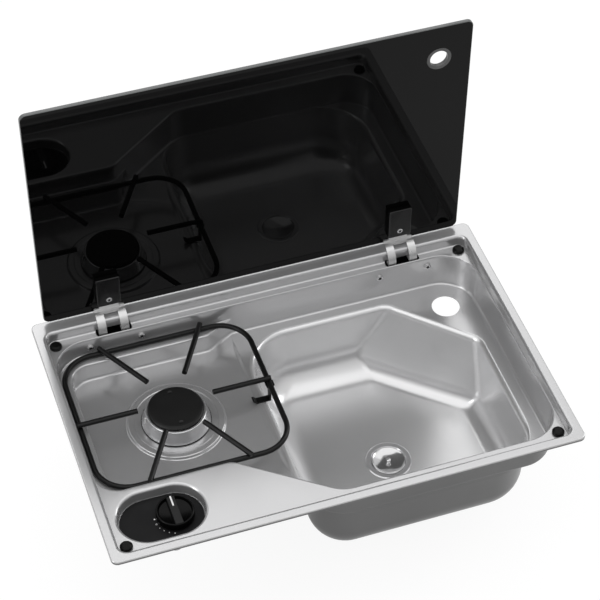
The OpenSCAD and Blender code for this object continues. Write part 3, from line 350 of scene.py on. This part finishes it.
def add_fill(bm, outer, holes, z, extra=()):
    """Triangles between an outer loop and holes, at a height that may depend on x and y."""
    verts, edges = [], []
    for loop in [outer] + holes:
        first = len(verts)
        verts += [Vector((p.x, p.y)) for p in loop]
        edges += [(first + k, first + (k + 1) % len(loop)) for k in range(len(loop))]
    verts += [Vector((p.x, p.y)) for p in extra]
    points, _, faces, *_ = delaunay_2d_cdt(verts, edges, [], 0, 1e-5)
    made = [bm.verts.new(p * MM) for p in at_height(points, z)]
    for face in faces:
        middle = sum((points[i] for i in face), Vector((0, 0))) / len(face)
        if inside(outer, middle) and not any(inside(hole, middle) for hole in holes):
            bm.faces.new([made[i] for i in face])


def add_turned(bm, centre, profile, steps=64):
    """Surface of revolution about an upright axis, through pairs of radius and height."""
    add_band(bm, [at_height(circle(centre, r, steps), z) for r, z in profile])


def add_box(bm, low, high):
    """Plain box between two corners."""
    loop = [Vector(p) for p in ((low[0], low[1]), (high[0], low[1]), (high[0], high[1]), (low[0], high[1]))]
    rows = [[bm.verts.new(p * MM) for p in at_height(loop, z)] for z in (low[2], high[2])]
    bm.faces.new(rows[0])
    bm.faces.new(rows[1])
    for k in range(4):
        n = (k + 1) % 4
        bm.faces.new((rows[0][k], rows[0][n], rows[1][n], rows[1][k]))


def stand_up(bm):
    """Swap depth and height, so that what was drawn lying flat stands upright and faces the front."""
    for vert in bm.verts:
        vert.co = Vector((vert.co.x, vert.co.z, vert.co.y))


def finished(name, bm, material, sharp=40):
    """Object from welded mesh data, with smooth shading and sharp edges past an angle in degrees."""
    bmesh.ops.remove_doubles(bm, verts=bm.verts, dist=1e-6)
    bmesh.ops.dissolve_degenerate(bm, dist=1e-7, edges=bm.edges)
    bmesh.ops.recalc_face_normals(bm, faces=bm.faces)
    mesh = bpy.data.meshes.new(name)
    bm.to_mesh(mesh)
    bm.free()
    for polygon in mesh.polygons:
        polygon.use_smooth = True
    mesh.set_sharp_from_angle(angle=math.radians(sharp))
    for one in material if isinstance(material, list) else [material]:
        mesh.materials.append(one)
    piece = bpy.data.objects.new(name, mesh)
    bpy.context.scene.collection.objects.link(piece)
    return piece


def bake(piece):
    """Apply the piece's modifiers to its mesh."""
    graph = bpy.context.evaluated_depsgraph_get()
    graph.update()
    mesh = bpy.data.meshes.new_from_object(piece.evaluated_get(graph))
    piece.modifiers.clear()
    piece.data = mesh


def flatten(piece):
    """Let large faces rule the shading, so that planes look plane beside their fillets."""
    shading = piece.modifiers.new("shading", "WEIGHTED_NORMAL")
    shading.mode = "FACE_AREA"
    shading.weight = 100
    shading.keep_sharp = True


def round_edges(piece, width):
    """Round the piece's sharp edges and bake the result."""
    edge = piece.modifiers.new("edge", "BEVEL")
    edge.width = width * MM
    edge.segments = 3
    edge.limit_method = "ANGLE"
    bake(piece)
    flatten(piece)


def dressed(piece, body, slot, *replaced):
    """Let the piece ride a body and stand for CAD nodes; the slot is not used."""
    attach(piece, body)
    if replaced:
        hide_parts(*replaced)


# Loops of the pressed top; a positive inset moves a loop inwards

def tray(inset):
    """The flange's outer loop."""
    return rounded_box(-280, -185, 280, 185, 8, inset)


def well(inset, side=1.0):
    """The lid well's loop; side scales the move of its two side edges."""
    return rounded_box(-267.5, -172.5, 267.5, 164.3, 10, [inset, inset * side, inset, inset * side])


def recess(inset, side=1.0, back=1.0):
    """The recess's loop at deck level; side and back scale the moves of those edges."""
    weights = [1, 1, 1, 1, side, back, back, back, side]
    return outline(RECESS, RECESS_RADII, [inset * w for w in weights])


def lower(inset, front=1.0):
    """The recess's loop below the ledge; front scales the move of the sink's front edge."""
    weights = [1, 1, 1, front, 1, 1, 1, 1, 1]
    return outline(LOWER, LOWER_RADII, [inset * w for w in weights])


def knob_cup(inset):
    """The knob recess's loop."""
    return rounded_box(-257.5, -157.3, -157.3, -88.0, 34.64, inset)


def bowl_opening(insets, lean=0.0):
    """The bowl's loop with its front, right, tap, back and left edges moved in; its corners stay round."""
    radii = [max(r, max(insets[i - 1], insets[i]) + BOWL_LEAST_R) for i, r in enumerate(BOWL_RADII)]
    points = [*BOWL_POINTS]
    points[3] = (points[3][0] - lean, points[3][1])
    return outline(points, radii, insets)


def bowl_inset(side, height):
    """How far a side of the bowl stands in at a height over its floor."""
    rim, lean, fillet = side
    if height < fillet:
        return rim + lean + fillet - math.sqrt(max(0, fillet ** 2 - (fillet - height) ** 2))
    return rim + lean * (BOWL_WALL - height) / (BOWL_WALL - fillet)


def bowl_ring(height):
    """The bowl's inner face at a height over its floor."""
    insets = [bowl_inset(side, height) for side in BOWL_SIDES]
    return at_height(bowl_opening(insets, TAP_LEAN * (BOWL_WALL - height) / BOWL_WALL), BOWL + height)


def floor_height(x, y):
    """Height of the shelf, and of the hob floor, which is pressed lower left of a soft fold."""
    step = min(1.0, max(0.0, (HOB_RIGHT - x) / FOLD))
    if y < HOB_FRONT:
        step = min(step, max(0.0, 1 + (y - HOB_FRONT) / FOLD))
    if y > HOB_BACK:
        step = min(step, max(0.0, 1 - (y - HOB_BACK) / FOLD))
    smooth = step * step * (3 - 2 * step)
    return SHELF + (HOB - SHELF) * smooth


# Pressed top

def add_flange(bm):
    """Turned-down lip, flange, rolled edge, and the lid well's wall down to the deck."""
    edge, drop = 1.4, -4.0
    lip = [at_height(tray(0), drop)]
    lip += [at_height(tray(edge - edge * math.cos(a)), -edge + edge * math.sin(a)) for a in arc(5)]
    # The lip's outer face takes the underside's darker steel, painted shade
    for face in add_band(bm, lip)[:len(lip[0])]:
        face.material_index = LIP_SLOT
    roll, foot = 4.0, 2.5
    add_fill(bm, tray(edge), [well(-roll)], 0.0)
    wall = [at_height(well(-roll + roll * math.sin(a)), -roll + roll * math.cos(a)) for a in arc(7)]
    for a in arc(5):
        loop = well(foot - foot * math.cos(a), WELL_SHARE)
        wall.append(at_height(loop, DECK + foot - foot * math.sin(a)))
    add_band(bm, wall)
    holes = [recess(-RECESS_EDGE, SIDE_SHARE, BACK_SHARE), knob_cup(-CUP_EDGE)]
    add_fill(bm, well(foot, WELL_SHARE), holes, DECK)


def add_knob_cup(bm):
    """Cup round the knob, with a rounded edge, a fillet at its floor and the neck's hole."""
    edge, foot, floor, neck_r = CUP_EDGE, 1.4, DECK - 15.0, 7.3
    loops = []
    for a in arc(6):
        loops.append(at_height(knob_cup(-edge + edge * math.sin(a)), DECK - edge + edge * math.cos(a)))
    for a in arc(5):
        loops.append(at_height(knob_cup(foot - foot * math.cos(a)), floor + foot - foot * math.sin(a)))
    add_band(bm, loops)
    add_fill(bm, knob_cup(foot), [circle(KNOB, neck_r, 32)], floor)


def add_recess_wall(bm):
    """Wall from the deck to the ledge, the ledge, the wall down to the floors, and the floors."""
    edge = RECESS_EDGE
    loops = []
    for a in arc(6):
        loop = recess(-edge + edge * math.sin(a), SIDE_SHARE, BACK_SHARE)
        loops.append(at_height(loop, DECK - edge + edge * math.cos(a)))
    # The ledge's profile, which fades into a plain wall where the two loops run close together
    upper, under = recess(0), lower(0)
    width, foot, lip, full = 16.0, 3.0, 2.5, 14
    path = [(foot - foot * math.cos(a), LEDGE + foot - foot * math.sin(a)) for a in arc(5)]
    path += [(width - lip + lip * math.sin(a), LEDGE - lip + lip * math.cos(a)) for a in arc(5)]
    top_z, low_z = path[0][1], path[-1][1]
    for k, (across, height) in enumerate(path):
        plain = top_z + (low_z - top_z) * k / (len(path) - 1)
        loop = []
        for p, q in zip(upper, under):
            share = min(1.0, (q - p).length / full)
            at = p.lerp(q, across / width)
            loop.append(Vector((at.x, at.y, plain + (height - plain) * share)))
        loops.append(loop)
    fillet = 3.5
    last = lower(fillet, FRONT_SHARE)
    for a in arc(5):
        loop = lower(fillet - fillet * math.cos(a), FRONT_SHARE)
        rise = fillet - fillet * math.sin(a)
        loops.append([Vector((p.x, p.y, floor_height(q.x, q.y) + rise)) for p, q in zip(loop, last)])
    add_band(bm, loops)
    # Points along the fold, so that the floor bends there
    fold = [Vector((x, y)) for x in (-46, -44.5, -43, -41.8, -40.8) for y in range(-52, 132, 6)]
    holes = [bowl_opening([0] * 5), circle(TAP, TAP_R), circle(BURNER, SEAT_R)]
    add_fill(bm, last, holes, floor_height, fold)


def add_seat(bm):
    """Ring pressed up round the burner."""
    add_turned(bm, BURNER, [
        (SEAT_R, HOB), (59.6, HOB + 0.15), (58.9, HOB + 0.6), (57.9, SEAT - 0.6), (57.3, SEAT - 0.15),
        (56.4, SEAT), (51.0, SEAT), (50.4, SEAT - 0.15), (49.8, SEAT - 0.5), (49.0, SEAT - 0.6),
        (41.0, SEAT - 0.6), (40.2, SEAT - 0.9), (40.0, SEAT - 1.5)
    ])


def add_bowl(bm):
    """Bowl with a rolled rim, leaning walls, large fillets and a shallow dish for the drain."""
    loops = []
    for a in arc(9):
        side = BOWL_RIM * math.sin(a)
        loop = bowl_opening([0, side, side, side, side])
        loops.append(at_height(loop, SHELF - BOWL_RIM + BOWL_RIM * math.cos(a)))
    loops += [bowl_ring(BOWL_FILLET - BOWL_FILLET * math.sin(a)) for a in arc(22)]
    add_band(bm, loops)
    dish = ((30.0, 0), (27, -0.02), (23.5, -0.1))
    floor = [Vector((p.x, p.y)) for p in loops[-1]]
    add_fill(bm, floor, [circle(DRAIN, dish[0][0])], BOWL)
    add_turned(bm, DRAIN, [(r, BOWL + z) for r, z in dish])


def hinge_slot(x):
    """Cutter for the slot that a hinge's arms pass through."""
    bm = bmesh.new()
    half, front, back, radius = 22, 155.2, 165.6, 3
    bottom, top = -19, DECK + 2.6
    loop = rounded_box(x - half, front, x + half, back, radius)
    add_band(bm, [at_height(loop, bottom), at_height(loop, top)])
    add_fill(bm, loop, [], bottom)
    add_fill(bm, loop, [], top)
    return finished("cutter", bm, [])


def pressed_top(materials):
    """The whole pressed sheet with the welded bowl, as one skin with a thickness."""
    bm = bmesh.new()
    add_flange(bm)
    add_knob_cup(bm)
    add_recess_wall(bm)
    add_seat(bm)
    before = len(bm.faces)
    add_bowl(bm)
    bm.faces.ensure_lookup_table()
    for face in bm.faces[before:]:
        face.material_index = BOWL_SLOT
    # The underside takes the steel painted darker as painted shade
    under = materials["under"]
    piece = finished("pressed_top", bm, [materials["steel"], materials["steel_bowl"], under, under])
    upward = sum(p.normal.z * p.area for p in piece.data.polygons)
    if upward < 0:
        piece.data.flip_normals()
    skin = piece.modifiers.new("skin", "SOLIDIFY")
    skin.thickness = SHEET * MM
    skin.offset = -1
    skin.use_even_offset = True
    skin.material_offset = UNDER_OFFSET
    cutters = [hinge_slot(x) for x in HINGES]
    for cutter in cutters:
        cut = piece.modifiers.new("slot", "BOOLEAN")
        cut.object = cutter
        cut.operation = "DIFFERENCE"
        cut.solver = "EXACT"
        cutter.hide_render = True
    bake(piece)
    for cutter in cutters:
        bpy.data.objects.remove(cutter)
    piece.data.set_sharp_from_angle(angle=math.radians(40))
    flatten(piece)
    dressed(
        piece, "tray", "steel", "top_pressing", "knob_recess", "recess_wall", "pan_ledge", "lower_wall",
        "hob_floor", "sink_shelf", "sink_bowl", "bowl_base"
    )


# Fittings

def burner_skirt(materials):
    """Smooth skirt round the burner's head, on a thin gasket."""
    steps = 96
    bm = bmesh.new()
    add_turned(bm, BURNER, [
        (32.5, -47), (33, -44.6), (33.6, -44.1), (35.2, -44), (36, -44.3), (36.3, -45), (36.6, -46.5),
        (37.3, -49.5), (41, -60.3), (41.2, -60.9), (40.8, -61.1), (36, -61.1)
    ], steps)
    dressed(finished("skirt", bm, materials["skirt"], 50), "tray", "skirt", "burner_skirt")
    bm = bmesh.new()
    add_turned(bm, BURNER, [(38, -61), (41.5, -61), (41.8, -61.4), (41.8, SEAT), (38, SEAT)], steps)
    dressed(finished("gasket", bm, materials["gasket"], 50), "tray", "gasket", "burner_gasket")


def control_knob(materials):
    """Knob, hollow below, with a rim, two hollows in its face and a grip bar between them."""
    low, top, floor = -25.2, -16.3, -20.8
    ceiling = floor - 1.5
    bm = bmesh.new()
    add_turned(bm, KNOB, [
        (0, ceiling), (18.6, ceiling), (18.6, low), (22, low), (22, low + 0.6), (21.7, top - 1.2),
        (21.4, top - 0.5), (20.9, top - 0.1), (20.3, top), (19.8, top - 0.1), (19.5, top - 0.5),
        (19.1, floor + 1.6), (18.4, floor + 0.5), (17, floor), (0, floor)
    ])
    dressed(finished("knob_body", bm, materials["knob"], 35), "knob", "knob", "knob")
    half_w, half_l = 4.6, 19.6
    bm = bmesh.new()
    add_box(bm, (KNOB[0] - half_w, KNOB[1] - half_l, floor - 1), (KNOB[0] + half_w, KNOB[1] + half_l, top))
    grip = finished("knob_grip", bm, materials["grip"])
    round_edges(grip, 0.6)
    dressed(grip, "knob", "knob")


def plate_marks(materials):
    """Setting marks printed round the knob: a large dot, a small ring and four dots."""
    plate, ink, distance = -28.0, 0.06, 23.6

    def mark(turn):
        """Middle of the mark at an angle in degrees round the knob."""
        angle = math.radians(turn)
        return (KNOB[0] + distance * math.cos(angle), KNOB[1] + distance * math.sin(angle))

    bm = bmesh.new()
    for turn, radius in ((173, 0.95), (206.5, 0.6), (221.7, 0.6), (237, 0.65), (253, 0.7)):
        add_fill(bm, circle(mark(turn), radius, 16), [], plate + ink)
    middle = mark(190.8)
    add_fill(bm, circle(middle, 1.05, 20), [circle(middle, 0.6, 20)], plate + ink)
    dressed(finished("plate_marks", bm, materials["pointer"]), "tray", "pointer")


def drain_plug(materials):
    """Polished plug, dished, with a stud in its middle."""
    bm = bmesh.new()
    dish_r, dish_z, rise, rings = 19.4, BOWL - 1.8, 2.3, 10
    dish = [(dish_r * k / rings, dish_z + rise * (k / rings) ** 2) for k in range(rings, -1, -1)]
    add_turned(bm, DRAIN, [
        (0, BOWL - 3.2), (18.4, BOWL - 3.2), (20.9, BOWL - 0.6), (20.9, BOWL + 0.45), (20.6, BOWL + 0.8),
        (20.2, BOWL + 0.9), (19.8, BOWL + 0.8)
    ] + dish)
    add_turned(bm, DRAIN, [
        (2, BOWL - 2), (2, BOWL + 0.6), (2.6, BOWL + 1), (2.8, BOWL + 1.4), (2.8, BOWL + 2.2),
        (2.5, BOWL + 2.7), (1.8, BOWL + 3), (0, BOWL + 3.2)
    ], 32)
    dressed(finished("drain_plug", bm, materials["polished"], 50), "plug", "waste", "waste_plug")


def glass_panel(materials):
    """Glass with ground edges and the hole for the finger ring, drawn flat and stood up."""
    ground, front, back = 0.7, GLASS_Y, GLASS_Y + GLASS_T
    outer, inner = (rounded_box(-263.7, 3.0, 263.7, 328.6, 8, inset) for inset in (0, ground))
    hole = circle(HOLE, HOLE_R, 48)
    bm = bmesh.new()
    for depth in (front, back):
        add_fill(bm, inner, [hole], depth)
    add_band(bm, [at_height(hole, front), at_height(hole, back)])
    edge = [
        at_height(inner, front), at_height(outer, front + ground),
        at_height(outer, back - ground), at_height(inner, back)
    ]
    for face in add_band(bm, edge):
        face.material_index = 1
    stand_up(bm)
    piece = finished("glass_panel", bm, [materials["glass"], materials["glass_edge"]], 30)
    dressed(piece, "lid", "glass", "glass_lid")


def hinge_covers(materials):
    """Black covers with rounded edges."""
    half_w, low, high = 14.5, 16, 60
    for name, x in zip(("left", "right"), HINGES):
        bm = bmesh.new()
        add_box(bm, (x - half_w, GLASS_Y - COVER_T, low), (x + half_w, GLASS_Y, high))
        cover = finished("cover_" + name, bm, materials["cover"])
        round_edges(cover, 1.3)
        dressed(cover, "lid", "cover", "hinge_cover_" + name)


def screw_heads(materials):
    """Bright heads, each with a black disc for its socket that is painted shade, for the covers' and the
    brackets' screws.
    """
    cover_z, wall_z, wall_y, half_gap = 25.5, -28.0, 151.6, 31.75
    cover = [((x, cover_z), GLASS_Y - COVER_T) for x in HINGES]
    wall = [((x + side * half_gap, wall_z), wall_y) for x in HINGES for side in (-1, 1)]
    # Profiles as shares of the head's radius and depths from its face
    parts = (
        ("rim", "polished", [(1.0, 0.1), (1.0, -0.15), (0.85, -0.7), (0.62, -0.85), (0.5, -0.7), (0.46, 0)]),
        # A black disc inside each rim, painted shade where the socket's recess would look dark
        ("socket_shade", "socket_shade", [(0.52, -0.4), (0, -0.4)])
    )
    for name, body, places, radius in (("cover", "lid", cover, 3.4), ("wall", "tray", wall, 4.2)):
        for part, material, profile in parts:
            bm = bmesh.new()
            for centre, depth in places:
                add_turned(bm, centre, [(r * radius, depth + d) for r, d in profile], 32)
            stand_up(bm)
            dressed(finished(f"{name}_screw_{part}", bm, materials[material]), body, "zinc")


# Light and surroundings

def glow(name, location, size, power):
    """A soft rectangular lamp that points at the object."""
    lamp = bpy.data.lights.new(name, "AREA")
    lamp.shape = "RECTANGLE"
    lamp.size, lamp.size_y = size
    lamp.energy = power
    holder = bpy.data.objects.new(name, lamp)
    holder.location = location
    direction = -Vector(location)
    holder.rotation_euler = direction.to_track_quat("-Z", "Y").to_euler()
    bpy.context.scene.collection.objects.link(holder)


def add_lights():
    """Plain soft studio light: a large one overhead, one behind and smaller ones at the sides."""
    glow("top_light", (-0.2, 0.1, 2.0), (3.4, 2.8), 16)
    glow("back_light", (0.2, 1.7, 1.5), (2.2, 0.8), 4)
    glow("left_light", (-1.7, -0.3, 0.9), (0.5, 1.4), 7)
    glow("right_light", (1.6, 0.3, 0.8), (0.5, 1.4), 7)


def seen(tree, camera, glossy, transmission):
    """Shares for rays from the camera, from a reflection and through glass; 0 for other rays."""
    path = tree.nodes.new("ShaderNodeLightPath")
    shares = {"Is Camera Ray": camera, "Is Glossy Ray": glossy, "Is Transmission Ray": transmission}
    total = None
    for output, share in shares.items():
        scaled = tree.nodes.new("ShaderNodeMath")
        scaled.operation = "MULTIPLY"
        scaled.inputs[1].default_value = share
        tree.links.new(path.outputs[output], scaled.inputs[0])
        if total:
            joined = tree.nodes.new("ShaderNodeMath")
            joined.operation = "MAXIMUM"
            tree.links.new(total, joined.inputs[0])
            tree.links.new(scaled.outputs[0], joined.inputs[1])
            total = joined.outputs[0]
        else:
            total = scaled.outputs[0]
    return total


def set_world():
    """Sky that is brighter overhead, and white where the camera looks past the object."""
    world = bpy.data.worlds.new("studio")
    bpy.context.scene.world = world
    world.use_nodes = True
    tree = world.node_tree
    back = tree.nodes["Background"]
    back.inputs["Color"].default_value = (1, 1, 1, 1)
    place = tree.nodes.new("ShaderNodeTexCoord")
    height = tree.nodes.new("ShaderNodeSeparateXYZ")
    tree.links.new(place.outputs["Generated"], height.inputs["Vector"])
    sky = tree.nodes.new("ShaderNodeMapRange")
    sky.interpolation_type = "SMOOTHSTEP"
    sky.inputs["From Min"].default_value = 0.0
    sky.inputs["From Max"].default_value = 0.85
    sky.inputs["To Min"].default_value = 0.12
    sky.inputs["To Max"].default_value = 0.75
    tree.links.new(height.outputs["Z"], sky.inputs["Value"])
    strength = tree.nodes.new("ShaderNodeMix")
    strength.data_type = "FLOAT"
    strength.inputs["B"].default_value = 1.0
    tree.links.new(sky.outputs["Result"], strength.inputs["A"])
    tree.links.new(seen(tree, 1.0, 0.3, 1.0), strength.inputs["Factor"])
    tree.links.new(strength.outputs["Result"], back.inputs["Strength"])


def add_floor():
    """A pale floor under the waste, which looks white but keeps a light shadow of the object."""
    low = cad_bounds[0][2] - 0.001
    half = 6.0
    mesh = bpy.data.meshes.new("floor")
    corners = [(-half, -half, low), (half, -half, low), (half, half, low), (-half, half, low)]
    mesh.from_pydata(corners, [], [(0, 1, 2, 3)])
    floor = bpy.data.objects.new("floor", mesh)
    bpy.context.scene.collection.objects.link(floor)
    material, tree, shader = new_material("floor", grey(0.82), 0.9)
    shader.inputs["Specular IOR Level"].default_value = 0.0
    mesh.materials.append(material)
    white = tree.nodes.new("ShaderNodeEmission")
    white.inputs["Color"].default_value = (1, 1, 1, 1)
    white.inputs["Strength"].default_value = 1.06
    mix = tree.nodes.new("ShaderNodeMixShader")
    tree.links.new(seen(tree, 0.86, 0.35, 0.86), mix.inputs["Fac"])
    tree.links.new(shader.outputs["BSDF"], mix.inputs[1])
    tree.links.new(white.outputs["Emission"], mix.inputs[2])
    tree.links.new(mix.outputs["Shader"], tree.nodes["Material Output"].inputs["Surface"])


def build():
    """Dress the CAD, add the visual pieces and set up the picture."""
    bpy.context.scene.view_settings.view_transform = "Standard"
    add_camera()
    materials = make_materials()
    dress_cad(materials)
    pressed_top(materials)
    burner_skirt(materials)
    control_knob(materials)
    plate_marks(materials)
    drain_plug(materials)
    glass_panel(materials)
    hinge_covers(materials)
    screw_heads(materials)
    set_world()
    add_floor()
    add_lights()


build()
